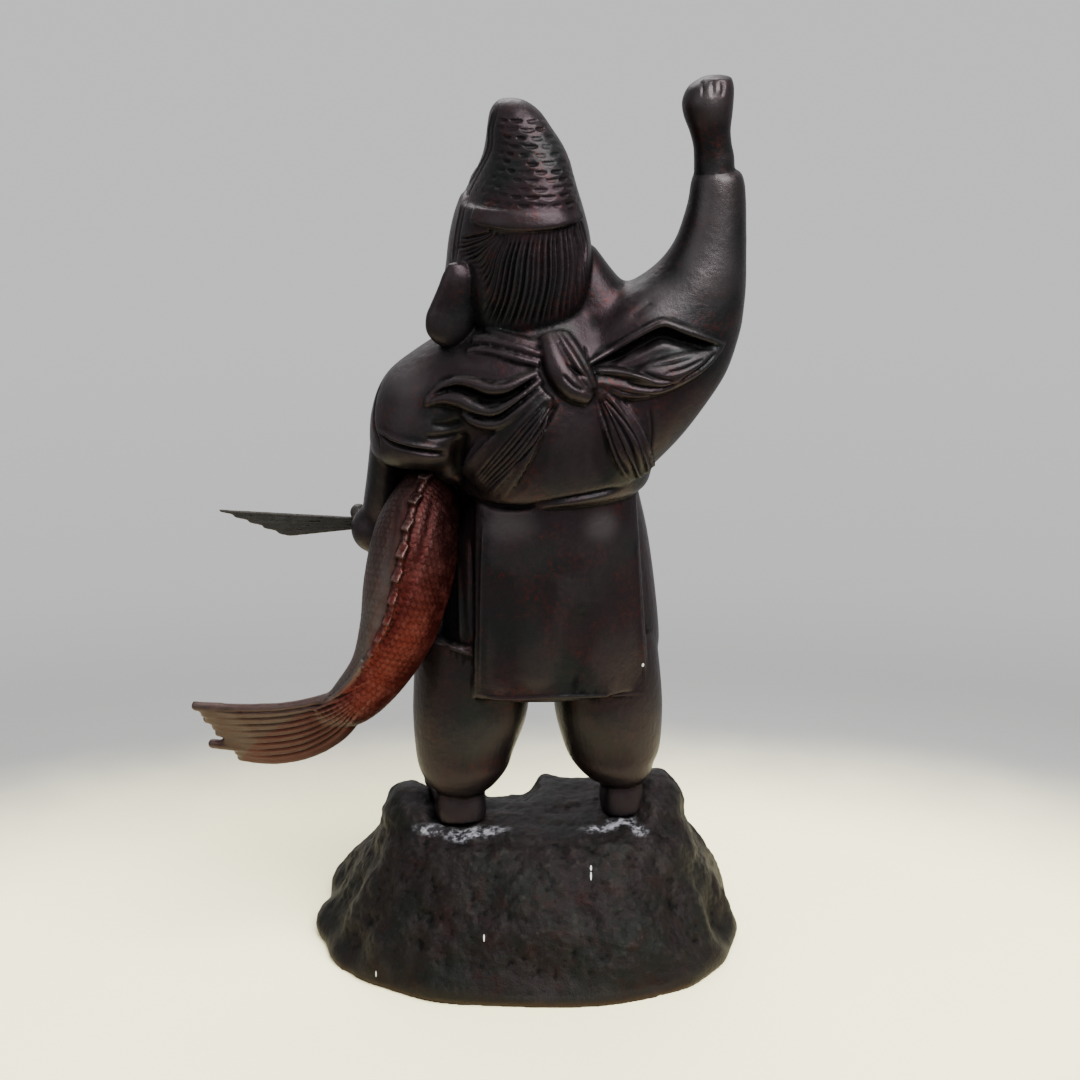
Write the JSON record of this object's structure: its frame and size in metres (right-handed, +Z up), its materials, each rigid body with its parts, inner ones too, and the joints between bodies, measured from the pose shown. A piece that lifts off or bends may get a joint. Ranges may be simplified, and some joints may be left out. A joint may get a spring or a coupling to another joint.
{
  "type": "ebisu figure",
  "caption": "Standing bronze figure in a tall cap and tied sleeves, one fist raised, a red sea bream under the other arm, on a rock base.",
  "frame": {"origin": "middle of the rock's flat underside", "axes": "+Z up; the figure faces -Y; its left side, with the fish, is towards +X"},
  "size_m": [0.2786, 0.1888, 0.4498],
  "materials": {
    "rock_patina": "dull, mottled brown and green-grey patina on cast bronze",
    "dark_patina": "dark purple-brown patina on cast bronze, softly glossy",
    "red_patina": "red-brown patina on cast bronze, softly glossy"
  },
  "bodies": {
    "root": {"rock_base": "rock_patina", "ebisu_figure": "dark_patina", "sea_bream": "red_patina"}
  },
  "joints": []
}
